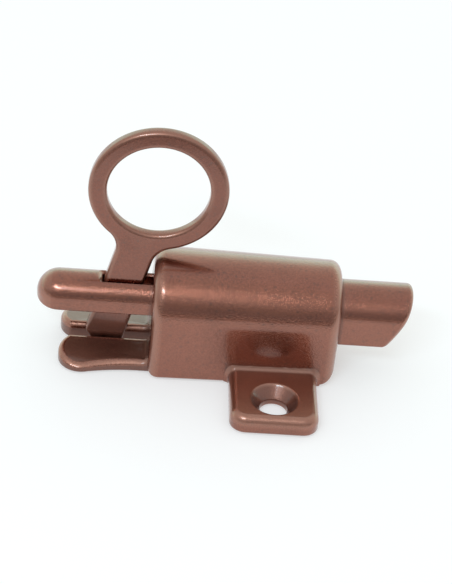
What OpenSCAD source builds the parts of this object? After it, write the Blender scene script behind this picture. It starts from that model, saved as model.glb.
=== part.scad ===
// Fanlight catch with a pull-ring lever: a sprung bolt slides along X in a cast body.
// +X points to the bolt's nose and +Z away from the mounting face.
// The origin is midway between the two screw holes, on the mounting face.

/* [Body casting] */
// Length of the body along the bolt
body_l = 32; // [28:0.5:44]
// Width of the body at its rear end
body_w = 17.5; // [14.4:0.2:21]
// Width of the body at its front end
front_w = 16.2; // [13.6:0.2:20]
// Height of the bolt's axis above the mounting face
axis_h = 11; // [9.2:0.1:14]
// Rounding of the edges at both ends of the body
end_r = 2; // [1:0.1:3]
// Thickness of the wall behind the spring
rear_wall = 2.5; // [1.8:0.1:4]
// Distance from the body's rear end to the screw holes
rear_to_screws = 21.4; // [16:0.1:30]

/* [Screw lugs] */
// Distance between the two screw holes
screw_pitch = 32; // [28:0.5:44]
// Length of each lug along the body
lug_l = 15; // [12:0.5:22]
// Thickness of the lugs
lug_t = 3; // [2.4:0.1:4.5]
// Distance from a screw hole to the end of its lug
lug_tip = 5.6; // [5:0.1:9]
// Radius of the corners of the lugs
lug_corner_r = 2.8; // [1:0.1:4.5]
// Diameter of the screw holes
screw_d = 4.7; // [3.5:0.1:5.6]
// Diameter of the countersinks at the top face
sink_d = 8.7; // [6.5:0.1:9.6]

/* [Rear fork] */
// Length of the two prongs behind the body
prong_l = 15.3; // [12:0.1:22]
// Thickness of the prongs
prong_t = 2.3; // [2:0.1:3.5]
// Distance from the centre plane to the far side of a prong's round lobe
lobe_out = 8.3; // [7.6:0.1:11]
// Radius of the lobes
lobe_r = 3.8; // [3:0.1:5]
// Distance from the centre plane to a prong's outer side at its neck
neck_out = 7; // [5.5:0.1:7.5]
// Distance of the neck behind the body
neck_at = 1.5; // [0.5:0.1:3]
// Free space on each side of the lever in the fork
fork_gap = 0.25; // [0.2:0.05:1]

/* [Bolt] */
// Radius of the bolt head's round top
head_r = 5; // [4:0.1:6.5]
// Depth of the bolt head below its axis
head_drop = 4.4; // [3:0.1:5]
// Length of the bolt head inside the body
head_in = 11; // [8:0.5:14]
// Projection of the nose beyond the body
throw = 12.4; // [8:0.1:14]
// Radius of the nose's crowned face
nose_r = 24; // [16:1:40]
// Height of the crown's centre above the bolt's axis
nose_rise = 9.5; // [6:0.5:14]
// Radius of the nose's top and bottom corners
nose_corner_r = 1; // [0.5:0.1:1.6]
// Radius of the tail's round top
tail_r = 3.8; // [3.2:0.1:4.4]
// Depth of the tail below the bolt's axis
tail_drop = 1.65; // [1.2:0.05:2.6]
// Length of the tail behind the body
tail_out = 19.5; // [16:0.5:26]
// Sliding clearance around the bolt
bolt_fit = 0.08; // [0.04:0.01:0.1]

/* [Ring lever] */
// Thickness of the lever
lever_t = 2.2; // [1.8:0.1:3]
// Outer radius of the ring
ring_r = 11.6; // [9:0.1:15]
// Radius of the finger hole
finger_r = 8.5; // [7:0.1:12]
// Width of the stem
stem_w = 6.6; // [5:0.1:8]
// Distance from the height of the body's top to the ring's centre, along the lever
ring_up = 13.28; // [12.5:0.02:22]
// Radius of the blends between the stem and the ring
blend_r = 4; // [2:0.5:6]
// Lean of the lever towards the nose at rest, in degrees
lean = 14; // [8:0.5:18]
// Swing of the lever from rest to the bolt drawn back, in degrees
swing = 45.5; // [30:0.5:50]
// Travel of the bolt over that swing
travel = 12.1; // [7:0.1:14]
// Gap at rest between the stem and the body, where the body's rear edge starts to round over
lever_gap = 0.57; // [0.4:0.01:3]
// Distance from the pivot to the shoulders of the foot
shoulder = 1.5; // [1:0.1:2.5]
// Radius of the eye around the pivot pin
eye_r = 1.05; // [0.9:0.05:1.4]

/* [Pivot pin] */
// Diameter of the pivot pin
pin_d = 1.3; // [1:0.05:1.6]
// Height of the pivot above the mounting face
pivot_h = 1.2; // [1.1:0.05:1.8]
// Depth of the pin's blind hole in the second prong
pin_blind = 4.5; // [3:0.1:6]
// Radial running clearance of the lever on the pin
pin_fit = 0.05; // [0.02:0.01:0.1]

/* [Return spring] */
// Diameter of the spring wire
wire_d = 0.6; // [0.4:0.05:0.8]
// Gap between the tail's lower corners and the inside of the coil
coil_gap = 0.2; // [0.1:0.05:0.5]
// Number of turns
turns = 8; // [5:1:12]
// Least gap between the coil and its chamber
chamber_gap = 0.45; // [0.3:0.05:0.8]

/* [Hidden] */
$fn = 96;
eps = 0.01;
copper = [0.55, 0.34, 0.29];
steel = [0.62, 0.62, 0.64];
rear_x = -rear_to_screws;
front_x = rear_x + body_l;
// The pivot is as far back, and the ring as high, as the leaning lever needs to pass the body
body_top = axis_h + body_w / 2 - pivot_h;
pivot_x = rear_x - lever_gap - stem_w / 2 / cos(lean) - (body_top - end_r) * tan(lean);
lever_l = body_top / cos(lean) + ring_up;
tip_y = screw_pitch / 2 + lug_tip;
head_x = front_x - head_in;
slot_w = lever_t + 0.5;
fork_y = lever_t / 2 + fork_gap;
lobe_y = lobe_out - lobe_r;
lobe_x = rear_x - prong_l + lobe_r;
// Highest and lowest points of the tail above the pivot
tail_top = axis_h + tail_r - pivot_h;
tail_low = axis_h - tail_drop - pivot_h;
// Lean of the lever away from the nose when the bolt is drawn back
lean_back = swing - lean;
stem_gap = 0.15;
coil_r = norm([tail_r, tail_drop]) + coil_gap + wire_d / 2;
// The spring's chamber is a little wider than the way for the bolt head
chamber_r = max(coil_r + wire_d / 2 + chamber_gap, head_r + bolt_fit + 0.2);

// Points of an arc with its centre at (cx, cy), from angle a0 to a1 in n steps
function arc(cx, cy, r, a0, a1, n) =
    [for (i = [0:n]) let (a = a0 + (a1 - a0) * i / n) [cx + r * cos(a), cy + r * sin(a)]];

// Half outline of a tapered bar with rounded ends: radius along X, length along Y
module half_outline(l, r0, r1, e) {
    k = (r0 - r1) / l;
    side = atan(k);
    a = r0 - k * e - e / cos(side);
    b = r0 - k * (l - e) - e / cos(side);
    polygon(concat([[0, 0]], arc(a, e, e, -90, side, 8), arc(b, l - e, e, side, 90, 8), [[0, l]]));
}

// Round-topped section seen along X: a disc's upper half on a straight-sided lower part
module d_section(r, drop) {
    intersection() {
        circle(r);
        translate([-r, 0]) square([2 * r, r]);
    }
    translate([-r, -drop]) square([2 * r, drop]);
}

// Bar of that section from x0 to x1 along the bolt's axis
module d_bar(x0, x1, r, drop) {
    translate([x0, 0, axis_h])
        rotate([90, 0, 90])
            linear_extrude(x1 - x0) d_section(r, drop);
}

// Straight-sided lower body, with the round top revolved on it
module body_shell() {
    linear_extrude(axis_h)
        translate([rear_x, 0])
            rotate(-90) {
                half_outline(body_l, body_w / 2, front_w / 2, end_r);
                mirror([1, 0]) half_outline(body_l, body_w / 2, front_w / 2, end_r);
            }
    translate([rear_x, 0, axis_h])
        rotate([0, 90, 0])
            rotate([0, 0, 90])
                rotate_extrude(angle = 180)
                    half_outline(body_l, body_w / 2, front_w / 2, end_r);
}

module lug_plan() {
    w = lug_l - 2 * lug_corner_r;
    translate([-w / 2, 0]) square([w, tip_y]);
    translate([-lug_l / 2, 0]) square([lug_l, tip_y - lug_corner_r]);
    for (sx = [-1, 1])
        translate([sx * w / 2, tip_y - lug_corner_r]) circle(lug_corner_r);
}

// One prong seen from above: a straight neck that a round lobe grows out of
module prong_plan() {
    neck_x = rear_x - neck_at;
    run = neck_x - lobe_x;
    rise = neck_out - lobe_y;
    waist_r = (run * run + rise * rise - lobe_r * lobe_r) / (2 * (lobe_r - rise));
    join = atan2(rise + waist_r, run);
    cut = 180 + asin((lobe_y - fork_y) / lobe_r);
    polygon(concat(
        [[rear_x + end_r, fork_y], [rear_x + end_r, neck_out]],
        arc(neck_x, neck_out + waist_r, waist_r, -90, join - 180, 8),
        arc(lobe_x, lobe_y, lobe_r, join, cut, 28)));
}

module body_casting() {
    color(copper)
    difference() {
        union() {
            body_shell();
            for (m = [0, 1])
                mirror([0, m, 0]) {
                    linear_extrude(lug_t) lug_plan();
                    linear_extrude(prong_t) prong_plan();
                }
        }
        // Screw holes with countersinks
        for (sy = [-1, 1])
            translate([0, sy * screw_pitch / 2, 0]) {
                translate([0, 0, -1]) cylinder(d = screw_d, h = lug_t + 2);
                translate([0, 0, lug_t - (sink_d - screw_d) / 2])
                    cylinder(d1 = screw_d, d2 = sink_d + 2 * eps, h = (sink_d - screw_d) / 2 + eps);
            }
        // Way for the bolt head, and the round chamber of the spring around it
        d_bar(rear_x + rear_wall, front_x + 1, head_r + bolt_fit, head_drop + bolt_fit);
        translate([rear_x + rear_wall, 0, axis_h])
            rotate([0, 90, 0])
                cylinder(r = chamber_r, h = head_x - rear_x - rear_wall);
        // Way for the tail through the rear wall
        d_bar(rear_x - 1, rear_x + rear_wall + 1, tail_r + bolt_fit, tail_drop + bolt_fit);
        // Blind hole for the pivot pin, drilled from the +Y side
        translate([pivot_x, lobe_out + 1, pivot_h])
            rotate([90, 0, 0])
                cylinder(d = pin_d, h = lobe_out + 1 + fork_y + pin_blind);
    }
}

// Side outline of the bolt head, from its rear face to the crowned nose
module head_side() {
    top = head_r - nose_corner_r;
    low = nose_corner_r - head_drop;
    inner = nose_r - nose_corner_r;
    crown_x = front_x + throw - nose_corner_r - sqrt(inner * inner - pow(nose_rise - top, 2));
    top_x = crown_x + sqrt(inner * inner - pow(nose_rise - top, 2));
    low_x = crown_x + sqrt(inner * inner - pow(nose_rise - low, 2));
    a_top = atan2(top - nose_rise, top_x - crown_x);
    a_low = atan2(low - nose_rise, low_x - crown_x);
    polygon(concat(
        [[head_x, head_r + 1], [head_x, -head_drop]],
        arc(low_x, low, nose_corner_r, -90, a_low, 6),
        arc(crown_x, nose_rise, nose_r, a_low, a_top, 16),
        arc(top_x, top, nose_corner_r, a_top, 90, 8),
        [[top_x, head_r + 1]]));
}

// Slot through the tail: its rear end leans with the lever at rest
module tail_slot() {
    low_x = pivot_x + tail_low * tan(lean) - stem_w / 2 / cos(lean) - stem_gap;
    top_x = pivot_x + tail_top * tan(lean) - stem_w / 2 / cos(lean) - stem_gap;
    end_x = pivot_x + travel - tail_low * tan(lean_back) + stem_w / 2 / cos(lean_back) + 0.4;
    slope = (top_x - low_x) / (tail_top - tail_low);
    z0 = pivot_h + tail_low - 1;
    z1 = pivot_h + tail_top + 1;
    translate([0, slot_w / 2, 0])
        rotate([90, 0, 0])
            linear_extrude(slot_w)
                polygon([[low_x - slope, z0], [end_x, z0], [end_x, z1], [top_x + slope, z1]]);
}

module bolt() {
    color(copper)
    difference() {
        union() {
            intersection() {
                d_bar(head_x, front_x + throw + 1, head_r, head_drop);
                translate([0, head_r + 1, axis_h])
                    rotate([90, 0, 0]) linear_extrude(2 * head_r + 2) head_side();
            }
            d_bar(rear_x - tail_out + tail_r, head_x + 1, tail_r, tail_drop);
            translate([rear_x - tail_out + tail_r, 0, axis_h]) {
                rotate_extrude() intersection() {
                    circle(tail_r);
                    square(tail_r);
                }
                translate([0, 0, -tail_drop]) cylinder(r = tail_r, h = tail_drop);
            }
        }
        tail_slot();
    }
}

// Lever in its own frame: the pivot is at the origin and the ring is above it, along Y
module lever_blank() {
    half = stem_w / 2;
    reach = sqrt(pow(ring_r + blend_r, 2) - pow(half + blend_r, 2));
    d = sqrt(half * half + shoulder * shoulder);
    a = atan2(shoulder, half) - acos(eye_r / d);
    translate([0, lever_l, 0]) cylinder(r = ring_r, h = lever_t);
    // Web between the stem and the ring, hollowed by the two blends
    difference() {
        linear_extrude(lever_t)
            polygon([[0, lever_l], [half + blend_r, lever_l - reach],
                     [-half - blend_r, lever_l - reach]]);
        for (s = [-1, 1])
            translate([s * (half + blend_r), lever_l - reach, -1])
                cylinder(r = blend_r, h = lever_t + 2);
    }
    linear_extrude(lever_t)
        polygon([[-half, lever_l - reach + eps], [-half, shoulder], [-eye_r * cos(a), eye_r * sin(a)],
                 [eye_r * cos(a), eye_r * sin(a)], [half, shoulder], [half, lever_l - reach + eps]]);
    cylinder(r = eye_r, h = lever_t);
}

module ring_lever() {
    color(copper)
    translate([pivot_x, lever_t / 2, pivot_h])
        rotate([0, lean, 0])
            rotate([90, 0, 0])
                difference() {
                    lever_blank();
                    translate([0, lever_l, -1]) cylinder(r = finger_r, h = lever_t + 2);
                    translate([0, 0, -1]) cylinder(r = pin_d / 2 + pin_fit, h = lever_t + 2);
                }
}

// The pin ends a little below the lobe's outer side, where the hole starts
module pivot_pin() {
    side_y = lobe_y + sqrt(lobe_r * lobe_r - pow(pivot_x - lobe_x, 2));
    length = side_y - 0.3 + fork_y + pin_blind;
    color(steel)
    translate([pivot_x, side_y - 0.3, pivot_h])
        rotate([90, 0, 0]) cylinder(d = pin_d, h = length);
}

// Helical wire along the bolt, its end turns closed up
spring_x0 = rear_x + rear_wall + 0.05;
spring_x1 = head_x - 0.05;
closed = wire_d * 1.03;
function coil_x(u) =
    let (l = spring_x1 - spring_x0 - wire_d, n = turns - 2, p = (l - 2 * closed) / n)
    spring_x0 + wire_d / 2 + (u < 1 ? u * closed : u > turns - 1 ? l - (turns - u) * closed
                              : closed + (u - 1) * p);

module return_spring() {
    steps = 20;
    sides = 8;
    rings = turns * steps;
    points = [for (i = [0:rings], j = [0:sides - 1])
        let (a = 360 * i / steps, b = 360 * j / sides, r = coil_r + wire_d / 2 * cos(b))
        [coil_x(i / steps) + wire_d / 2 * sin(b), r * cos(a), axis_h + r * sin(a)]];
    walls = [for (i = [0:rings - 1], j = [0:sides - 1])
        let (k = (j + 1) % sides)
        each [[i * sides + j, i * sides + k, (i + 1) * sides + k],
              [i * sides + j, (i + 1) * sides + k, (i + 1) * sides + j]]];
    color(steel)
        polyhedron(points, concat(walls, [[for (j = [sides - 1:-1:0]) j]],
                                  [[for (j = [0:sides - 1]) rings * sides + j]]));
}

body_casting();
bolt();
return_spring();
ring_lever();
pivot_pin();
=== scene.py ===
import math

import bmesh
import bpy
import numpy as np
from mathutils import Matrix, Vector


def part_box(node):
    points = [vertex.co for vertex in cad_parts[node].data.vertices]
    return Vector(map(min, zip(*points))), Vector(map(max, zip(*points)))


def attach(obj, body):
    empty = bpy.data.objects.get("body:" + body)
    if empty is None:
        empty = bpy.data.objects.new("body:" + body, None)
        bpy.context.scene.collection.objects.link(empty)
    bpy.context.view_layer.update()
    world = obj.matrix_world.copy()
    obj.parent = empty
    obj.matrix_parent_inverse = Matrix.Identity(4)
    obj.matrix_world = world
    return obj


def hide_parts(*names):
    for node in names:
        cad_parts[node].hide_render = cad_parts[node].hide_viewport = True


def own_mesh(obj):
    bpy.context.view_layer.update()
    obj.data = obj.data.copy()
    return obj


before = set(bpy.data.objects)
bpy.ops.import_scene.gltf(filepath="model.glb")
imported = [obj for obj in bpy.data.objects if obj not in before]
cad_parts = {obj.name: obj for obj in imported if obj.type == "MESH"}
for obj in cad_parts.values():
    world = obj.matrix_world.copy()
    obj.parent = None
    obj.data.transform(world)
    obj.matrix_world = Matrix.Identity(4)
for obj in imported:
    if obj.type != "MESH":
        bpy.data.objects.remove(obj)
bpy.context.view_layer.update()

# ---------------------------------------------------------------------------------------------
# Body casting: one brass casting, polished and plated antique copper. A round-topped box bored
# from end to end for the bolt, with a countersunk screw lug on each side and a two-pronged fork
# behind it that carries the lever's pin. Polishing by hand left its corners soft and brighter.
# ---------------------------------------------------------------------------------------------
mm = 0.001
body_low, body_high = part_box("body_casting")
spring_low, spring_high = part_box("return_spring")
front_x = body_high.x
rear_x = front_x - 32 * mm
axis_z = 11 * mm
rear_half, front_half = 8.75 * mm, 8.1 * mm
end_round = 2 * mm
foot_round = np.array([1.2, 3.0]) * mm
taper = (rear_half - front_half) / (front_x - rear_x)


def d_section(radius, drop, corner):
    """Closed D seen along X, one row for each radius: from the middle of the flat bottom out to
    a rounded corner, up a straight side, over a half circle and down the same way. (y, z) are
    measured from the bolt's axis."""
    radius, drop, corner = (np.reshape(a, (-1, 1)) for a in np.broadcast_arrays(radius, drop, corner))
    flat = np.linspace(0, 1, 9)[:-1]
    bend = np.radians(np.linspace(-90, 0, 9)[:-1])
    side = np.linspace(1, 0, 17)[:-1]
    over = np.radians(np.linspace(0, 90, 33))
    y = np.hstack([flat * (radius - corner), radius - corner + corner * np.cos(bend),
                   radius + 0 * side, radius * np.cos(over)])
    z = np.hstack([0 * flat - drop, corner - drop + corner * np.sin(bend),
                   (corner - drop) * side, radius * np.sin(over)])
    return np.hstack([y, -y[:, -2:0:-1]]), np.hstack([z, z[:, -2:0:-1]])


def shell(name, sheets):
    """Mesh object made of closed sheets. A sheet is a grid of points (rows, columns, xyz) whose
    columns join up in a ring, whose rows join up too where asked, and where each point has a
    share of rubbed edge and painted highlight, and of painted shade in nooks."""
    points, faces, rubs_and_sheens, nook_shades, first = [], [], [], [], 0
    for grid, ring_of_rows, rub_and_sheen, nook_shade in sheets:
        m, n = grid.shape[:2]
        row = np.arange(m if ring_of_rows else m - 1)[:, None]
        col = np.arange(n)[None, :]
        here, there = row * n, (row + 1) % m * n
        ahead = (col + 1) % n
        quads = np.stack([here + col, here + ahead, there + ahead, there + col], -1)
        faces.append(quads.reshape(-1, 4) + first)
        points.append(grid.reshape(-1, 3))
        rubs_and_sheens.append(np.broadcast_to(rub_and_sheen, (m, n)).ravel())
        nook_shades.append(np.broadcast_to(nook_shade, (m, n)).ravel())
        first += m * n
    mesh = bpy.data.meshes.new(name)
    mesh.from_pydata(np.vstack(points).tolist(), [], np.vstack(faces).tolist())
    for mark, values in (("rub_and_sheen", rubs_and_sheens), ("nook_shade", nook_shades)):
        values = np.clip(np.concatenate(values), 0, 1).astype(np.float32)
        mesh.attributes.new(mark, "FLOAT", "POINT").data.foreach_set("value", values)
    bm = bmesh.new()
    bm.from_mesh(mesh)
    bmesh.ops.remove_doubles(bm, verts=bm.verts, dist=1e-6)
    bmesh.ops.dissolve_degenerate(bm, edges=bm.edges, dist=1e-7)
    bmesh.ops.recalc_face_normals(bm, faces=bm.faces)
    bm.to_mesh(mesh)
    bm.free()
    mesh.shade_smooth()
    piece = bpy.data.objects.new(name, mesh)
    bpy.context.scene.collection.objects.link(piece)
    return piece


def cut_out(piece, cutter):
    """Takes the cutter's shape out of the piece, then drops the cutter."""
    bite = piece.modifiers.new("bite", "BOOLEAN")
    bite.operation, bite.solver, bite.object = "DIFFERENCE", "EXACT", cutter
    bpy.context.view_layer.update()
    cut = piece.evaluated_get(bpy.context.evaluated_depsgraph_get())
    mesh = bpy.data.meshes.new_from_object(cut, preserve_all_data_layers=True,
                                           depsgraph=bpy.context.evaluated_depsgraph_get())
    piece.modifiers.clear()
    piece.data = mesh
    bpy.data.objects.remove(cutter)


def finish_faces(piece, angle=38):
    """Keeps the flat faces flat beside their rounded edges, and creases what is still sharp."""
    piece.data.set_sharp_from_angle(angle=math.radians(angle))
    even = piece.modifiers.new("even faces", "WEIGHTED_NORMAL")
    even.keep_sharp = True


def outline_normals(outline):
    """Outward normals of a closed plan outline that runs anticlockwise."""
    step = np.roll(outline, -1, 0) - np.roll(outline, 1, 0)
    normal = np.stack([step[:, 1], -step[:, 0]], -1)
    return normal / np.linalg.norm(normal, axis=1, keepdims=True)


def arc(cx, cy, r, a0, a1, n):
    """Points of a circle's arc, without the last one."""
    a = np.radians(np.linspace(a0, a1, n + 1)[:-1])
    return np.stack([cx + r * np.cos(a), cy + r * np.sin(a)], -1)


def line(x0, y0, x1, y1, n):
    """Points of a straight line, without the last one."""
    t = np.linspace(0, 1, n + 1)[:-1, None]
    return (1 - t) * [x0, y0] + t * [x1, y1]


# The box: its outer skin, front face, bore, spring chamber and rear face are one closed sheet.
side_angle = math.degrees(math.atan(taper))
lean_r = end_round / math.cos(math.radians(side_angle))
rear_flat = rear_half - taper * end_round - lean_r
front_flat = rear_half - taper * (front_x - rear_x - end_round) - lean_r
turn_rows = 22
turn_rear = np.radians(np.linspace(-90, side_angle, turn_rows))
turn_front = np.radians(np.linspace(side_angle, 90, turn_rows))
x_rear = rear_x + end_round * (1 + np.sin(turn_rear))
x_front = front_x - end_round * (1 - np.sin(turn_front))
x_side = np.linspace(x_rear[-1], x_front[0], 70)[1:-1]
skin_x = np.concatenate([x_rear, x_side, x_front])
skin_r = np.concatenate([rear_flat + end_round * np.cos(turn_rear),
                         np.interp(x_side, [x_rear[-1], x_front[0]],
                                   [rear_flat + end_round * math.cos(turn_rear[-1]),
                                    front_flat + end_round * math.cos(turn_front[0])]),
                         front_flat + end_round * np.cos(turn_front)])
from_rear = np.clip(foot_round[0] - (skin_x - rear_x), 0, None)
from_front = np.clip(foot_round[1] - (front_x - skin_x), 0, None)
skin_drop = (axis_z - foot_round[0] + np.sqrt(foot_round[0] ** 2 - from_rear ** 2)
             - foot_round[1] + np.sqrt(foot_round[1] ** 2 - from_front ** 2))
head_way, head_way_drop = 5.08 * mm, 4.48 * mm
tail_way, tail_way_drop = 3.88 * mm, 1.73 * mm
chamber, chamber_corner = 5.39 * mm, 1.4 * mm
chamber_front, chamber_rear = spring_high.x + 0.05 * mm, spring_low.x - 0.05 * mm
mouth, mouth_step = 0.28 * mm, 0.08 * mm
inside = np.array([
    # x, radius, drop, corner
    [front_x, head_way + mouth, head_way_drop + mouth, 0.5 * mm],
    [front_x - mouth_step, head_way + mouth_step, head_way_drop + mouth_step, 0.4 * mm],
    [front_x - mouth, head_way, head_way_drop, 0.3 * mm],
    [5 * mm, head_way, head_way_drop, 0.3 * mm],
    [chamber_front, head_way, head_way_drop, 0.3 * mm],
    [chamber_front, chamber, chamber, chamber_corner],
    [-10 * mm, chamber, chamber, chamber_corner],
    [chamber_rear, chamber, chamber, chamber_corner],
    [chamber_rear, tail_way, tail_way_drop, 0.2 * mm],
    [rear_x + mouth, tail_way, tail_way_drop, 0.2 * mm],
    [rear_x + mouth_step, tail_way + mouth_step, tail_way_drop + mouth_step, 0.3 * mm],
    [rear_x, tail_way + mouth, tail_way_drop + mouth, 0.4 * mm]])
fade = np.linspace(0, 1, 8)[1:-1, None]
skin_corner = 0.4 * mm
outer_front = np.array([front_x, skin_r[-1], skin_drop[-1], skin_corner])
outer_rear = np.array([rear_x, skin_r[0], skin_drop[0], skin_corner])
stations = np.vstack([
    np.stack([skin_x, skin_r, skin_drop, 0 * skin_x + skin_corner], -1),
    (1 - fade) * outer_front + fade * inside[0],
    inside,
    (1 - fade) * inside[-1] + fade * outer_rear])
box_y, box_z = d_section(stations[:, 1], stations[:, 2], stations[:, 3])
box_x = np.broadcast_to(stations[:, :1], box_y.shape)
box_rub = np.zeros(len(stations))
box_rub[:turn_rows] = np.sin(np.linspace(0, np.pi, turn_rows))
box_rub[len(skin_x) - turn_rows:len(skin_x)] = box_rub[:turn_rows]
# Painted shade: darker all through the bore and chamber, and on the box's side just above the lugs.
box_nook_shade = np.zeros(box_y.shape)
box_nook_shade[len(skin_x) + 4:-4] = 1
above_lug = np.clip(box_z + axis_z - 3.4 * mm, 0, None)
lug_side = (np.abs(box_x) < 8 * mm) & (np.abs(box_y) > 7 * mm)
box_nook_shade += np.where(lug_side, np.exp(-above_lug / (0.5 * mm)), 0)
box_grid = np.stack([box_x, box_y, box_z + axis_z], -1)
body_sheets = [(box_grid, True, box_rub[:, None], box_nook_shade)]

# The lugs: a plan outline carried through a rounded edge to the countersink, with a small root
# radius where they meet the box.
pitch, hole_r, sink_r = 16 * mm, 2.35 * mm, 4.2 * mm
lug_half, lug_end, lug_h = 7.5 * mm, body_high.y, 3 * mm
lug_corner, edge_in, edge_down, root = 2.8 * mm, 1.3 * mm, 1.7 * mm, 0.8 * mm
hidden_y = 6.6 * mm
half_lug = np.vstack([
    line(0, hidden_y, lug_half, hidden_y, 12),
    line(lug_half, hidden_y, lug_half, hidden_y + 3.4 * mm, 22),
    line(lug_half, hidden_y + 3.4 * mm, lug_half, lug_end - lug_corner, 16),
    arc(lug_half - lug_corner, lug_end - lug_corner, lug_corner, 0, 90, 18),
    line(lug_half - lug_corner, lug_end, 0, lug_end, 12)])
lug_plan = np.vstack([half_lug, [[0, lug_end]], half_lug[:0:-1] * [-1, 1]])
lug_out = outline_normals(lug_plan)
hidden = lug_plan[:, 1] < hidden_y + 0.01 * mm
lug_out[hidden] = lug_plan[hidden] * [1 / lug_half, 0]
hole_turn = np.arctan2(lug_plan[:, 1] - pitch, lug_plan[:, 0])
hole_spoke = np.stack([np.cos(hole_turn), np.sin(hole_turn)], -1)


def hole_ring(radius, z):
    """One row of the lug round its screw hole."""
    ring = np.array([0, pitch]) + radius * hole_spoke
    return np.column_stack([ring, np.full(len(ring), z)])


def plan_row(outline, outward, inset, z):
    """One row that follows a plan outline, moved inwards, at a height."""
    return np.column_stack([outline - inset * outward, np.full(len(outline), z)])


def edge_rows(outline, outward, inset, down, top):
    """Rows over the rounded edge of a flat top, which is inset wide and down deep."""
    return [plan_row(outline, outward, inset * (1 - math.cos(a)), top - down * (1 - math.sin(a)))
            for a in np.radians(np.linspace(0, 90, 11))]


def between(a, b, n):
    """Rows spread evenly from one row to another, without either."""
    t = np.linspace(0, 1, n + 2)[1:-1, None, None]
    return (1 - t) * a + t * b


lug_edge = edge_rows(lug_plan, lug_out, edge_in, edge_down, lug_h)
sink_top, sink_foot = hole_ring(3.95 * mm, 2.85 * mm), hole_ring(2.42 * mm, 1.05 * mm)
sink = [hole_ring(sink_r, lug_h), hole_ring(4.05 * mm, 2.95 * mm), sink_top,
        *between(sink_top, sink_foot, 6),
        sink_foot, hole_ring(hole_r, 0.95 * mm), hole_ring(hole_r, 0.4 * mm)]
lug_side_rows = [plan_row(lug_plan, lug_out, inset * mm, z * mm)
                 for inset, z in ((0.6, 0), (0.15, 0), (0.04, 0.05), (0, 0.2), (0, 0.6), (0, 1.0))]
lug_rows = np.array([hole_ring(hole_r, 0), hole_ring(3.4 * mm, 0), *lug_side_rows,
                     *lug_edge, *between(lug_edge[-1], sink[0], 44), *sink])
lug_level = lug_rows[..., 2]
from_wall = lug_rows[..., 1] - (rear_half - taper * (lug_rows[..., 0] - rear_x))
lug_climb = root - np.sqrt(root ** 2 - (root - np.clip(from_wall, 0, root)) ** 2)
row_number = np.arange(len(lug_rows))[:, None]
top_share = np.clip((lug_level - lug_h + edge_down) / edge_down, 0, 1)
top_share = top_share * (row_number < len(lug_rows) - len(sink))
lug_rows[..., 2] += lug_climb * top_share
lug_rows[..., 0] *= 1 + lug_climb / lug_half
edge_row = 8
# Rubbed wear on the lug's rounded edge and the countersink's rim; the whole flat top is set fully rubbed as a
# painted highlight.
lug_rub_and_sheen = np.zeros(len(lug_rows))
lug_rub_and_sheen[edge_row + 6:-len(sink)] = 1
lug_rub_and_sheen[edge_row - 1:edge_row + 11] = np.maximum(lug_rub_and_sheen[edge_row - 1:edge_row + 11],
                                                 np.sin(np.linspace(0, np.pi, 12)))
lug_rub_and_sheen[-len(sink):-len(sink) + 3] = 1
# Painted shade at the lug's root against the box and down its countersink.
lug_nook_shade = np.exp(-np.clip(from_wall, 0, None) / (0.9 * mm)) * top_share
lug_nook_shade = lug_nook_shade + 0.7 * (row_number > len(lug_rows) - len(sink) + 1)
for hand in (-1, 1):
    body_sheets.append((lug_rows * [1, hand, 1], True, lug_rub_and_sheen[:, None], lug_nook_shade))

# The fork: two prongs with round lobes. Their tops fall away from the lever to a thin outer edge,
# the near one's further than the far one's.
prong_h, prong_edge, dish, inner_rise = 2.3 * mm, 0.9 * mm, 0.08 * mm, 0.7 * mm
near_fall, far_fall = 1.9 * mm, 1.0 * mm
fork_y, neck_y, prong_y, lobe_r = 1.35 * mm, 7 * mm, 8.3 * mm, 3.8 * mm
lobe_y, lobe_x = prong_y - lobe_r, body_low.x + lobe_r
neck_x, inside_x = rear_x - 1.5 * mm, rear_x + 2 * mm
run, rise = neck_x - lobe_x, neck_y - lobe_y
waist_r = (run ** 2 + rise ** 2 - lobe_r ** 2) / (2 * (lobe_r - rise))
join = math.degrees(math.atan2(rise + waist_r, run))
lobe_end = 180 + math.degrees(math.asin((lobe_y - fork_y) / lobe_r))
heel = math.cos(math.radians(lobe_end)) * lobe_r + lobe_x
prong_plan = np.vstack([
    line(heel, fork_y, inside_x, fork_y, 40),
    line(inside_x, fork_y, inside_x, neck_y, 10),
    line(inside_x, neck_y, neck_x, neck_y, 8),
    arc(neck_x, neck_y + waist_r, waist_r, -90, join - 180, 24),
    arc(lobe_x, lobe_y, lobe_r, join, lobe_end, 56)])
prong_out = outline_normals(prong_plan)
prong_middle = np.array([[-29.6, 4.4]]) * mm


def towards_middle(outline, share, z):
    """One row of a prong: an outline drawn in towards the prong's middle by a share."""
    return np.column_stack([(1 - share) * outline + share * prong_middle, np.full(len(outline), z)])


rim = edge_rows(prong_plan, prong_out, prong_edge, prong_edge, prong_h)
inward = (1 - np.cos(np.linspace(0, np.pi, 34)[1:])) / 2
tops = [towards_middle(rim[-1][:, :2], t, prong_h - dish * (1 - math.exp(-((t * 2.6) ** 2)))) for t in inward]
under = [towards_middle(prong_plan, t, 0) for t in (1, 0.6, 0.25, 0.03)]
prong_side_rows = [plan_row(prong_plan, prong_out, inset * mm, z * mm)
                   for inset, z in ((0.03, 0.05), (0, 0.2), (0, 0.7), (0, 1.1))]
prong_rows = np.array([*under, *prong_side_rows, *rim, *tops])
behind_body = rear_x - prong_rows[..., 0]
prong_climb = root - np.sqrt(root ** 2 - (root - np.clip(behind_body, 0, root)) ** 2)
upper = np.clip((prong_rows[..., 2] - prong_h + prong_edge) / prong_edge, 0, 1)
outer_share = np.clip((prong_rows[..., 1] - fork_y) / (prong_y - fork_y), 0, 1)
prong_rub = np.zeros(len(prong_rows))
prong_rub[edge_row:edge_row + 13] = np.sin(np.linspace(0, np.pi, 13))
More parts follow.
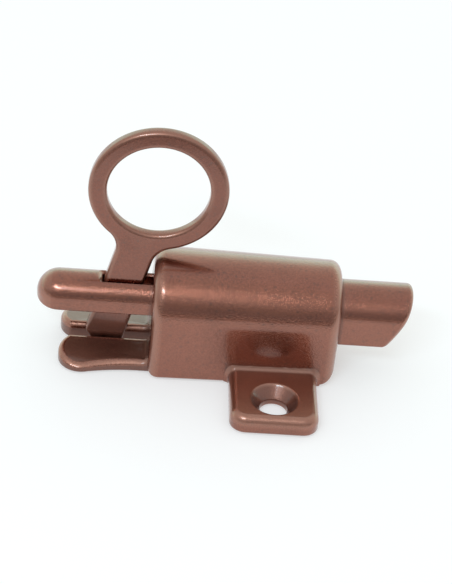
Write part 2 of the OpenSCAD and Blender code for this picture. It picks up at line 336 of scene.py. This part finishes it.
# Painted shade and painted dark reflection: darker near the box and over the prongs' tops, sides and
# undersides, all but the rubbed rim.
prong_nook_shade = np.exp(-np.clip(behind_body, 0, None) / (1.2 * mm)) + 0.9 * (prong_rub[:, None] == 0)
prongs = []
for hand, fall in ((-1, near_fall), (1, far_fall)):
    prong_top = prong_h + inner_rise - fall * outer_share * (0.59 + 0.41 * outer_share)
    prong_level = prong_rows[..., 2] * prong_top / prong_h + prong_climb * upper
    prong_grid = np.stack([prong_rows[..., 0], prong_rows[..., 1] * hand, prong_level], -1)
    prongs.append((prong_grid, False, prong_rub[:, None], prong_nook_shade))
body = shell("body_casting_finished", [*body_sheets, prongs[0]])

# The far prong is drilled right through for the pin, then made one with the casting.
pivot_x, pivot_z = -29.5 * mm, 1.2 * mm
pin_r, drill_r, eye_hole_r = 0.65 * mm, 0.67 * mm, 0.7 * mm
round_pin = np.radians(np.arange(0, 360, 10))


def pin_grid(radius, y0, y1, soft_end):
    """Round bar across the catch on the pivot: a circle carried along Y, with its ends eased."""
    ends = np.array([[y0, 0], [y0, radius - soft_end], [y0 + soft_end, radius],
                     [y1 - soft_end, radius], [y1, radius - soft_end], [y1, 0]])
    return np.stack([pivot_x + ends[:, 1:] * np.cos(round_pin),
                     np.repeat(ends[:, :1], len(round_pin), 1),
                     pivot_z + ends[:, 1:] * np.sin(round_pin)], -1)


def drill(piece, name, radius, y0, y1):
    """Drills a round hole along the pivot's line."""
    # The cutter's full nook share passes onto the walls it cuts: painted shade inside the hole.
    cut_out(piece, shell(name, [(pin_grid(radius, y0, y1, 0.01 * mm), False, 0, 1)]))


far_prong = shell("far_prong", prongs[1:])
drill(far_prong, "pin_drill", drill_r, 0, 9 * mm)
with bpy.context.temp_override(active_object=body, selected_editable_objects=[body, far_prong]):
    bpy.ops.object.join()
finish_faces(body)

copper_tone = (0.285, 0.104, 0.066)
copper_deep = (0.17, 0.078, 0.057)
copper_bright = (0.46, 0.24, 0.17)


def speckle_group():
    """Cast speckle and handling marks in polished, plated brass: fine grain that the polishing
    mop rode over, a few pits, and wide soft patches of deeper tone."""
    group = bpy.data.node_groups.new("cast_speckle", "ShaderNodeTree")
    face = group.interface
    face.new_socket("Vector", in_out="INPUT", socket_type="NodeSocketVector")
    face.new_socket("Grain Size", in_out="INPUT", socket_type="NodeSocketFloat").default_value = 0.0004
    for name in ("Grain", "Pits", "Patches"):
        face.new_socket(name, in_out="OUTPUT", socket_type="NodeSocketFloat")
    nodes, links = group.nodes, group.links
    given, out = nodes.new("NodeGroupInput"), nodes.new("NodeGroupOutput")
    per_metre = nodes.new("ShaderNodeMath")
    per_metre.operation = "DIVIDE"
    per_metre.inputs[0].default_value = 1
    links.new(given.outputs["Grain Size"], per_metre.inputs[1])
    grain = nodes.new("ShaderNodeTexNoise")
    grain.inputs["Detail"].default_value = 3
    grain.inputs["Roughness"].default_value = 0.62
    links.new(given.outputs["Vector"], grain.inputs["Vector"])
    links.new(per_metre.outputs[0], grain.inputs["Scale"])
    wide = nodes.new("ShaderNodeTexNoise")
    wide.inputs["Scale"].default_value = 170
    wide.inputs["Detail"].default_value = 4
    links.new(given.outputs["Vector"], wide.inputs["Vector"])
    dots = nodes.new("ShaderNodeTexVoronoi")
    dots.inputs["Scale"].default_value = 850
    links.new(given.outputs["Vector"], dots.inputs["Vector"])
    for source, socket, low, high in ((grain, "Grain", 0.35, 0.68), (wide, "Patches", 0.42, 0.66)):
        spread = nodes.new("ShaderNodeMapRange")
        spread.inputs["From Min"].default_value = low
        spread.inputs["From Max"].default_value = high
        links.new(source.outputs[0], spread.inputs["Value"])
        links.new(spread.outputs[0], out.inputs[socket])
    pit = nodes.new("ShaderNodeMapRange")
    pit.inputs["From Min"].default_value = 0.3
    pit.inputs["From Max"].default_value = 0.12
    links.new(dots.outputs["Distance"], pit.inputs["Value"])
    where = nodes.new("ShaderNodeMath")
    where.operation = "MULTIPLY"
    links.new(pit.outputs[0], where.inputs[0])
    links.new(wide.outputs[0], where.inputs[1])
    links.new(where.outputs[0], out.inputs["Pits"])
    return group


speckle = speckle_group()


def antique_copper(name, base, rough, grain, bump):
    """Antique copper plate: the base tone goes deeper in soft patches and pits, darker with painted
    shade in nooks, and brighter on rubbed edges and with a painted highlight, and its gloss varies with the
    cast grain."""
    material = bpy.data.materials.new(name)
    material.use_nodes = True
    nodes, links = material.node_tree.nodes, material.node_tree.links
    metal = nodes["Principled BSDF"]
    metal.inputs["Metallic"].default_value = 1
    metal.inputs["Coat Weight"].default_value = 0.8
    metal.inputs["Coat Roughness"].default_value = 0.12
    metal.inputs["Coat IOR"].default_value = 1.6
    place = nodes.new("ShaderNodeTexCoord")
    marks = nodes.new("ShaderNodeGroup")
    marks.node_tree = speckle
    marks.inputs["Grain Size"].default_value = grain
    links.new(place.outputs["Object"], marks.inputs["Vector"])
    rub_and_sheen, nook_shade = nodes.new("ShaderNodeAttribute"), nodes.new("ShaderNodeAttribute")
    rub_and_sheen.attribute_name, nook_shade.attribute_name = "rub_and_sheen", "nook_shade"

    def blend_colour(share, first, second, strength):
        """Mixes the second colour into the first by a share of the surface."""
        scale = nodes.new("ShaderNodeMath")
        scale.operation, scale.use_clamp = "MULTIPLY", True
        scale.inputs[1].default_value = strength
        links.new(share, scale.inputs[0])
        mix = nodes.new("ShaderNodeMix")
        mix.data_type = "RGBA"
        links.new(scale.outputs[0], mix.inputs["Factor"])
        for value, socket in ((first, mix.inputs[6]), (second, mix.inputs[7])):
            if isinstance(value, tuple):
                socket.default_value = (*value, 1)
            else:
                links.new(value, socket)
        return mix.outputs[2]

    ground, patch, fleck = (tuple(share * c for c in base) for share in (0.88, 0.72, 1.4))
    tone = blend_colour(marks.outputs["Patches"], ground, patch, 0.8)
    tone = blend_colour(marks.outputs["Grain"], tone, fleck, 0.5)
    tone = blend_colour(marks.outputs["Pits"], tone, copper_deep, 0.9)
    # Painted shade: the nook share darkens the tone towards copper_deep.
    tone = blend_colour(nook_shade.outputs["Fac"], tone, copper_deep, 0.75)
    # Rubbed edge wear, plus a painted highlight where the share is set across whole faces: brightens the
    # tone.
    tone = blend_colour(rub_and_sheen.outputs["Fac"], tone, copper_bright, 0.45)
    links.new(tone, metal.inputs["Base Color"])
    gloss = nodes.new("ShaderNodeMapRange")
    gloss.inputs["To Min"].default_value = rough * 0.75
    gloss.inputs["To Max"].default_value = rough * 1.3
    links.new(marks.outputs["Grain"], gloss.inputs["Value"])
    dull = nodes.new("ShaderNodeMath")
    dull.operation = "MULTIPLY_ADD"
    dull.inputs[1].default_value = 0.35
    links.new(nook_shade.outputs["Fac"], dull.inputs[0])
    links.new(gloss.outputs[0], dull.inputs[2])
    satin = nodes.new("ShaderNodeMath")
    satin.operation = "MULTIPLY_ADD"
    satin.inputs[1].default_value = 0.18
    links.new(rub_and_sheen.outputs["Fac"], satin.inputs[0])
    links.new(dull.outputs[0], satin.inputs[2])
    links.new(satin.outputs[0], metal.inputs["Roughness"])
    raised = nodes.new("ShaderNodeMath")
    raised.operation = "SUBTRACT"
    links.new(marks.outputs["Grain"], raised.inputs[0])
    links.new(marks.outputs["Pits"], raised.inputs[1])
    relief = nodes.new("ShaderNodeBump")
    relief.inputs["Strength"].default_value = bump
    relief.inputs["Distance"].default_value = 0.00002
    links.new(raised.outputs[0], relief.inputs["Height"])
    links.new(relief.outputs["Normal"], metal.inputs["Normal"])
    return material


body.data.materials.append(antique_copper(
    "antique_copper_cast", copper_tone, rough=0.16, grain=0.0003, bump=0.9))
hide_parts("body_casting")
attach(body, "body")

# ---------------------------------------------------------------------------------------------
# Bolt: a brass bar cast with a thick round-topped head that ends in a raked, crowned nose, and a
# thinner tail with a bull-nosed end. A slot through the tail takes the lever. It slides in the
# body's bore, and is polished and plated like it.
# ---------------------------------------------------------------------------------------------
bolt_low, bolt_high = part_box("bolt")
head_r, head_drop, tail_r, tail_drop = 5 * mm, 4.4 * mm, 3.8 * mm, 1.65 * mm
head_corner, tail_corner = 0.4 * mm, 0.35 * mm
head_x = chamber_front
crown_r, crown_z, nose_edge = 24 * mm, 9.5 * mm, 1.0 * mm
crown_rise = crown_z - head_r + nose_edge
crown_x = bolt_high.x - nose_edge - math.sqrt((crown_r - nose_edge) ** 2 - crown_rise ** 2)


def nose_face(z):
    """X of the nose's crowned face at a height above the bolt's axis: an arc about a line across
    the bolt, above its axis."""
    return crown_x + np.sqrt(crown_r ** 2 - (z - crown_z) ** 2)


end_turn = np.linspace(0, np.pi / 2, 26)
tail_centre = bolt_low.x + tail_r
tail_x = tail_centre - tail_r * np.cos(end_turn)
tail_width = tail_r * np.sin(end_turn)
bar = np.vstack([
    # x, radius, drop, corner
    np.stack([tail_x, tail_width, tail_drop * np.sin(end_turn) ** 0.4,
              np.minimum(tail_width * 0.4, tail_corner)], -1),
    [[x, tail_r, tail_drop, tail_corner] for x in np.linspace(tail_centre, head_x, 40)[1:]],
    [[head_x, head_r - 0.2 * mm, head_drop - 0.2 * mm, 0.3 * mm],
     [head_x + 0.2 * mm, head_r, head_drop, head_corner]],
    [[x, head_r, head_drop, head_corner] for x in np.linspace(head_x, bolt_high.x - 5 * mm, 40)[2:]]])
bar_y, bar_z = d_section(bar[:, 1], bar[:, 2], bar[:, 3])
bar_x = np.broadcast_to(bar[:, :1], bar_y.shape)
nose_rows = 12
nose_turn = np.linspace(0, np.pi / 2, nose_rows)
nose_inset = nose_edge * (1 - np.cos(nose_turn))
edge_y, edge_z = d_section(head_r - nose_inset, head_drop - nose_inset,
                           np.maximum(head_corner - 0.3 * nose_inset, 0.1 * mm))
edge_x = nose_face(edge_z) - nose_edge * (1 - np.sin(nose_turn))[:, None]
shrink = np.linspace(1, 0, 16)[1:, None]
middle = 0.5 * (head_r - head_drop)
face_y, face_z = edge_y[-1:] * shrink, middle + (edge_z[-1:] - middle) * shrink
bolt_grid = np.stack([np.vstack([bar_x, edge_x, nose_face(face_z)]),
                      np.vstack([bar_y, edge_y, face_y]),
                      np.vstack([bar_z, edge_z, face_z]) + axis_z], -1)
bolt_rub = np.zeros(len(bolt_grid))
bolt_rub[len(bar_x):len(bar_x) + nose_rows] = np.sin(np.linspace(0, np.pi, nose_rows))
bolt_rub[4:20] = 0.4
# Painted shade where the bolt passes through the body's rear and front walls.
at_rear_wall = np.abs(bolt_grid[..., 0] - rear_x) < 0.6 * mm
at_front_wall = np.abs(bolt_grid[..., 0] - front_x - 0.2 * mm) < 0.5 * mm
bolt_nook_shade = 0.8 * at_rear_wall + 0.8 * at_front_wall
bolt = shell("bolt_finished", [(bolt_grid, False, bolt_rub[:, None], bolt_nook_shade)])

# The slot: a lane with round ends in plan, leaning with the lever at its rear end, and eased
# outwards at the top where the edge was broken with a file.
lean, lean_back = math.radians(14), math.radians(31.5)
travel, half_stem = 12.1 * mm, 3.3 * mm
slot_half, slot_soft = 1.22 * mm, 0.5 * mm
rear_gap, front_gap = 0.15 * mm, 0.4 * mm


def slot_plan(x0, x1, half):
    """Closed rectangle with small round corners, as (x, y)."""
    s = slot_soft
    return np.vstack([line(x0 + s, -half, x1 - s, -half, 24), arc(x1 - s, s - half, s, -90, 0, 6),
                      line(x1, s - half, x1, half - s, 4), arc(x1 - s, half - s, s, 0, 90, 6),
                      line(x1 - s, half, x0 + s, half, 24), arc(x0 + s, half - s, s, 90, 180, 6),
                      line(x0, half - s, x0, s - half, 4), arc(x0 + s, s - half, s, 180, 270, 6)])


def slot_ends(z):
    """The slot's rear and front ends at a height above the axis: the rear end leans with the
    lever at rest, and the front end is upright, where the lever's foot end needs it when drawn."""
    above = axis_z + z - pivot_z
    low = axis_z - tail_drop - pivot_z
    rear = pivot_x + above * math.tan(lean) - half_stem / math.cos(lean) - rear_gap
    front = pivot_x + travel - low * math.tan(lean_back) + half_stem / math.cos(lean_back) + front_gap
    return rear, front


slot_rows = []
# Height above the bolt's axis and widening, in mm
for z, ease in ((-4, 0), (-1.5, 0), (1, 0), (2.95, 0), (3.1, 0.08), (3.25, 0.24), (3.4, 0.46), (5, 3.0)):
    rear_end, front_end = slot_ends(z * mm)
    ring = slot_plan(rear_end - ease * mm, front_end + ease * mm * 0.3, slot_half + ease * mm)
    slot_rows.append(np.column_stack([ring, np.full(len(ring), axis_z + z * mm)]))
slot_rows = np.array(slot_rows)
slot_caps = [np.repeat(row.mean(0)[None], len(row), 0)[None] for row in (slot_rows[0], slot_rows[-1])]
slot_grid = np.vstack([slot_caps[0], slot_rows, slot_caps[1]])
# The cutter's full nook share passes onto the slot's walls: painted shade inside the slot.
cut_out(bolt, shell("slot_cutter", [(slot_grid, False, 0, 1)]))
finish_faces(bolt)
bolt.data.materials.clear()
bolt.data.materials.append(antique_copper(
    "antique_copper_sliding", copper_tone, rough=0.16, grain=0.00028, bump=0.8))
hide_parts("bolt")
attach(bolt, "bolt")

# ---------------------------------------------------------------------------------------------
# Ring lever: a flat brass plate blanked with a finger ring at its top and a narrow eye at its
# foot, its edges rounded by tumbling before plating. It stands in the tail's slot and rocks on
# the pin between the prongs.
# ---------------------------------------------------------------------------------------------
plate, ring_r, finger_r, finger_edge, lever_l = 2.2 * mm, 11.6 * mm, 8.5 * mm, 0.7 * mm, 32.4 * mm
blend_r, shoulder, eye_r = 4 * mm, 1.5 * mm, 1.05 * mm
reach = math.sqrt((ring_r + blend_r) ** 2 - (half_stem + blend_r) ** 2)
to_ring = math.degrees(math.atan2(reach, -half_stem - blend_r))
foot_angle = math.atan2(shoulder, half_stem) - math.acos(eye_r / math.hypot(half_stem, shoulder))
foot = [eye_r * math.cos(foot_angle), eye_r * math.sin(foot_angle)]
half_lever = np.vstack([
    arc(0, 0, eye_r, -90, math.degrees(foot_angle), 10),
    line(*foot, half_stem - 0.25 * mm, shoulder - 0.1 * mm, 8),
    line(half_stem - 0.25 * mm, shoulder - 0.1 * mm, half_stem, shoulder + 0.3 * mm, 3),
    line(half_stem, shoulder + 0.3 * mm, half_stem, lever_l - reach, 40),
    arc(half_stem + blend_r, lever_l - reach, blend_r, 180, to_ring, 18),
    arc(0, lever_l, ring_r, to_ring - 180, 90, 130)])
lever_plan = np.vstack([half_lever, [[0, lever_l + ring_r]], half_lever[:0:-1] * [-1, 1]])
lever_out = outline_normals(lever_plan)
ring_turn = np.arctan2(lever_plan[:, 1] - lever_l, lever_plan[:, 0])
ring_spoke = np.stack([np.cos(ring_turn), np.sin(ring_turn)], -1)
# The outer edge's rounding grows from the foot to the stem
soft = (0.2 + 0.5 * np.clip((lever_plan[:, 1:] - 1 * mm) / (5 * mm), 0, 1)) * mm


def plate_row(share, turn):
    """One row of the plate's outer edge: share is the side of the plate, turn the angle round
    the rounded edge."""
    flat = lever_plan - soft * (1 - math.cos(turn)) * lever_out
    level = share * (plate / 2 - soft * (1 - math.sin(turn)))
    return np.hstack([flat, level])


def finger_row(share, turn):
    """One row of the finger hole's edge, built the same way."""
    flat = np.array([0, lever_l]) + (finger_r + finger_edge * (1 - math.cos(turn))) * ring_spoke
    level = share * (plate / 2 - finger_edge * (1 - math.sin(turn)))
    return np.hstack([flat, np.full((len(flat), 1), level)])


edge_n = 8
bends = np.radians(np.linspace(0, 90, edge_n))
lever_rows = [plate_row(1, a) for a in bends]
lever_rows += list(between(lever_rows[-1], finger_row(1, bends[-1]), edge_n))
lever_rows += [finger_row(1, a) for a in bends[::-1]]
lever_rows += [finger_row(-1, a) for a in bends]
lever_rows += list(between(lever_rows[-1], plate_row(-1, bends[-1]), edge_n))
lever_rows += [plate_row(-1, a) for a in bends[::-1]]
lever_rows = np.array(lever_rows)
wide, tall, deep = lever_rows[..., 0], lever_rows[..., 1], lever_rows[..., 2]
lever_grid = np.stack([pivot_x + wide * math.cos(lean) + tall * math.sin(lean), deep,
                       pivot_z - wide * math.sin(lean) + tall * math.cos(lean)], -1)
lever_rub = np.zeros(len(lever_rows))
for first_row in (0, 2 * edge_n, 3 * edge_n, 5 * edge_n):
    lever_rub[first_row:first_row + edge_n] = np.sin(np.linspace(0.2, np.pi - 0.2, edge_n))
# Painted shade over the lever's foot, down in the slot and between the prongs.
lever_nook_shade = np.exp(-np.clip(tall - 4 * mm, 0, None) / (2 * mm)) * 0.8
lever = shell("ring_lever_finished", [(lever_grid, True, lever_rub[:, None], lever_nook_shade)])
drill(lever, "eye_cutter", eye_hole_r, -3 * mm, 3 * mm)
finish_faces(lever)
lever.data.materials.clear()
lever_tone = (0.235, 0.082, 0.052)
lever.data.materials.append(antique_copper(
    "antique_copper_lever", lever_tone, rough=0.22, grain=0.0003, bump=0.2))
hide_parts("ring_lever")
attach(lever, "lever")

# ---------------------------------------------------------------------------------------------
# Pivot pin: drawn steel wire, cut to length, its ends eased. It is pressed in from the far side
# through one prong, the lever's eye and part of the other prong.
# ---------------------------------------------------------------------------------------------
pin_low, pin_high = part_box("pivot_pin")
pin = shell("pivot_pin_finished", [(pin_grid(pin_r, pin_low.y, pin_high.y, 0.12 * mm), False, 0, 0.4)])
finish_faces(pin)


def bare_steel(name, tone, rough, stretch):
    """Drawn steel: a grey with fine drawing lines along the wire and a little varied gloss."""
    material = bpy.data.materials.new(name)
    material.use_nodes = True
    nodes, links = material.node_tree.nodes, material.node_tree.links
    metal = nodes["Principled BSDF"]
    metal.inputs["Metallic"].default_value = 1
    place, drawn = nodes.new("ShaderNodeTexCoord"), nodes.new("ShaderNodeMapping")
    drawn.inputs["Scale"].default_value = stretch
    links.new(place.outputs["Object"], drawn.inputs["Vector"])
    marks = nodes.new("ShaderNodeGroup")
    marks.node_tree = speckle
    marks.inputs["Grain Size"].default_value = 0.0002
    links.new(drawn.outputs[0], marks.inputs["Vector"])
    mix = nodes.new("ShaderNodeMix")
    mix.data_type = "RGBA"
    mix.inputs[6].default_value = (*tone, 1)
    mix.inputs[7].default_value = (*(0.7 * t for t in tone), 1)
    links.new(marks.outputs["Grain"], mix.inputs["Factor"])
    links.new(mix.outputs[2], metal.inputs["Base Color"])
    gloss = nodes.new("ShaderNodeMapRange")
    gloss.inputs["To Min"].default_value = rough
    gloss.inputs["To Max"].default_value = rough * 1.5
    links.new(marks.outputs["Grain"], gloss.inputs["Value"])
    links.new(gloss.outputs[0], metal.inputs["Roughness"])
    relief = nodes.new("ShaderNodeBump")
    relief.inputs["Strength"].default_value = 0.3
    relief.inputs["Distance"].default_value = 0.00001
    links.new(marks.outputs["Grain"], relief.inputs["Height"])
    links.new(relief.outputs["Normal"], metal.inputs["Normal"])
    return material


pin.data.materials.append(bare_steel("pin_steel", (0.5, 0.47, 0.44), 0.28, (1, 0.1, 1)))
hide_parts("pivot_pin")
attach(pin, "body")

# ---------------------------------------------------------------------------------------------
# Return spring: a compression spring of hard-drawn wire with closed end turns. It lies in the
# body's chamber round the bolt's tail and pushes the head out.
# ---------------------------------------------------------------------------------------------
turns, wire_r = 8, 0.3 * mm
coil_r = spring_high.y - wire_r
along_wire = np.linspace(0, turns, turns * 36 + 1)
length = spring_high.x - spring_low.x - 2 * wire_r
closed = 0.618 * mm  # pitch of a closed end turn
wire_x = spring_low.x + wire_r + np.interp(along_wire, [0, 1, turns - 1, turns],
                                           [0, closed, length - closed, length])
wire_turn = 2 * np.pi * along_wire
round_wire = np.radians(np.arange(0, 360, 30))
rings = np.concatenate([[0], np.arange(len(along_wire)), [len(along_wire) - 1]])
wire_size = np.concatenate([[0], np.ones(len(along_wire)), [0]])[:, None] * wire_r
from_axis = coil_r + wire_size * np.cos(round_wire)
spring_grid = np.stack([wire_x[rings, None] + wire_size * np.sin(round_wire),
                        from_axis * np.cos(wire_turn[rings, None]),
                        axis_z + from_axis * np.sin(wire_turn[rings, None])], -1)
spring = shell("return_spring_finished", [(spring_grid, False, 0, 0)])
finish_faces(spring, 60)
spring.data.materials.append(bare_steel("spring_steel", (0.42, 0.42, 0.44), 0.3, (1, 1, 1)))
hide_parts("return_spring")
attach(spring, "body")
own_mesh(spring)

# ---------------------------------------------------------------------------------------------
# The table: a wide pale sheet, with a dark strip of room in front that only gloss picks up.
# ---------------------------------------------------------------------------------------------


def flat_sheet(name, x0, x1, y0, y1, z):
    """One flat rectangle."""
    mesh = bpy.data.meshes.new(name)
    mesh.from_pydata([(x0, y0, z), (x1, y0, z), (x1, y1, z), (x0, y1, z)], [], [(0, 1, 2, 3)])
    sheet = bpy.data.objects.new(name, mesh)
    bpy.context.scene.collection.objects.link(sheet)
    return sheet


table = flat_sheet("table", -3, 3, -3, 3, -0.0003)
white = bpy.data.materials.new("pale_table")
white.use_nodes = True
paper = white.node_tree.nodes["Principled BSDF"]
paper.inputs["Base Color"].default_value = (0.6, 0.6, 0.6, 1)
paper.inputs["Roughness"].default_value = 1
paper.inputs["Specular IOR Level"].default_value = 0
paper.inputs["Emission Color"].default_value = (1, 1, 1, 1)
paper.inputs["Emission Strength"].default_value = 0.42
table.data.materials.append(white)

room = flat_sheet("dark_room", -2, 2, -2, -0.066, 0.0005)
shade = bpy.data.materials.new("dark_room")
shade.use_nodes = True
dusk = shade.node_tree.nodes["Principled BSDF"]
dusk.inputs["Base Color"].default_value = (0, 0, 0, 1)
dusk.inputs["Roughness"].default_value = 1
dusk.inputs["Specular IOR Level"].default_value = 0
dusk.inputs["Emission Color"].default_value = (1, 0.97, 0.95, 1)
dusk.inputs["Emission Strength"].default_value = 0.4
room.data.materials.append(shade)
room.visible_camera = room.visible_diffuse = room.visible_shadow = room.visible_transmission = False

# ---------------------------------------------------------------------------------------------
# Light: a pale tent that is open and dark towards the viewer, with one soft lamp at the left.
# ---------------------------------------------------------------------------------------------
world = bpy.data.worlds.new("tent")
bpy.context.scene.world = world
world.use_nodes = True
nodes, links = world.node_tree.nodes, world.node_tree.links
nodes.clear()
towards, split = nodes.new("ShaderNodeTexCoord"), nodes.new("ShaderNodeSeparateXYZ")
links.new(towards.outputs["Generated"], split.inputs[0])
ahead = nodes.new("ShaderNodeMath")
ahead.operation = "MULTIPLY"
ahead.inputs[1].default_value = -1
links.new(split.outputs["Y"], ahead.inputs[0])
swing = nodes.new("ShaderNodeMath")
swing.operation = "ARCTAN2"
links.new(split.outputs["Z"], swing.inputs[0])
links.new(ahead.outputs[0], swing.inputs[1])
share = nodes.new("ShaderNodeMath")
share.operation = "DIVIDE"
share.inputs[1].default_value = math.pi
links.new(swing.outputs[0], share.inputs[0])
ramp = nodes.new("ShaderNodeValToRGB")
links.new(share.outputs[0], ramp.inputs[0])
# Place from straight in front (0) over the top to behind (1), then the colour there
tent = ((0.0, 0.40, 0.40, 0.40), (0.10, 0.42, 0.42, 0.42), (0.17, 0.72, 0.72, 0.72),
        (0.45, 0.80, 0.80, 0.80), (0.66, 0.85, 0.87, 0.85), (0.81, 1.0, 1.08, 1.02),
        (0.86, 1.15, 1.6, 1.45), (0.90, 1.2, 1.65, 1.5), (1.0, 1.2, 1.65, 1.5))
while len(ramp.color_ramp.elements) < len(tent):
    ramp.color_ramp.elements.new(0.5)
for element, (at, *colour) in zip(ramp.color_ramp.elements, tent):
    element.position = at
    element.color = (*colour, 1)
sky, plain = nodes.new("ShaderNodeBackground"), nodes.new("ShaderNodeBackground")
links.new(ramp.outputs[0], sky.inputs["Color"])
plain.inputs["Color"].default_value = (1, 1, 1, 1)
seen, pick = nodes.new("ShaderNodeLightPath"), nodes.new("ShaderNodeMixShader")
world_out = nodes.new("ShaderNodeOutputWorld")
links.new(seen.outputs["Is Camera Ray"], pick.inputs[0])
links.new(sky.outputs[0], pick.inputs[1])
links.new(plain.outputs[0], pick.inputs[2])
links.new(pick.outputs[0], world_out.inputs["Surface"])


def direction(azimuth, elevation):
    """Unit vector towards the viewer's side: azimuth 0 is straight in front."""
    return np.array([math.sin(azimuth) * math.cos(elevation), -math.cos(azimuth) * math.cos(elevation),
                     math.sin(elevation)])


lamp_azimuth, lamp_elevation, lamp_distance = math.radians(-24), math.radians(46), 0.7
lamp = bpy.data.lights.new("left_lamp", "AREA")
lamp.shape, lamp.size, lamp.size_y, lamp.energy = "RECTANGLE", 0.3, 0.06, 1.3
lamp.color = (0.72, 0.9, 1.0)
holder = bpy.data.objects.new("left_lamp", lamp)
holder.location = direction(lamp_azimuth, lamp_elevation) * lamp_distance
holder.rotation_euler = (math.pi / 2 - lamp_elevation, 0, lamp_azimuth)
bpy.context.scene.collection.objects.link(holder)

# ---------------------------------------------------------------------------------------------
# Camera: a long lens, above and in front of the catch, turned a little about its own axis.
# ---------------------------------------------------------------------------------------------
azimuth, elevation, roll = (math.radians(a) for a in (-4.92, 37.02, 6.62))
aim = np.array([-7.4, 0, 8]) * mm
distance = 0.3403
back = direction(azimuth, elevation)
right = np.array([math.cos(azimuth), math.sin(azimuth), 0])
up = np.cross(back, right)
camera_x = right * math.cos(roll) + up * math.sin(roll)
camera_y = up * math.cos(roll) - right * math.sin(roll)
lens = bpy.data.cameras.new("camera")
lens.sensor_width, lens.lens = 36, 122.0
lens.shift_x, lens.shift_y = -0.0099, 0.0386
lens.clip_start, lens.clip_end = 0.01, 20
camera = bpy.data.objects.new("camera", lens)
stand = np.eye(4)
stand[:3] = np.column_stack([camera_x, camera_y, back, aim + back * distance])
camera.matrix_world = stand.T.tolist()
bpy.context.scene.collection.objects.link(camera)
bpy.context.scene.camera = camera
bpy.context.scene.view_settings.view_transform = "Standard"
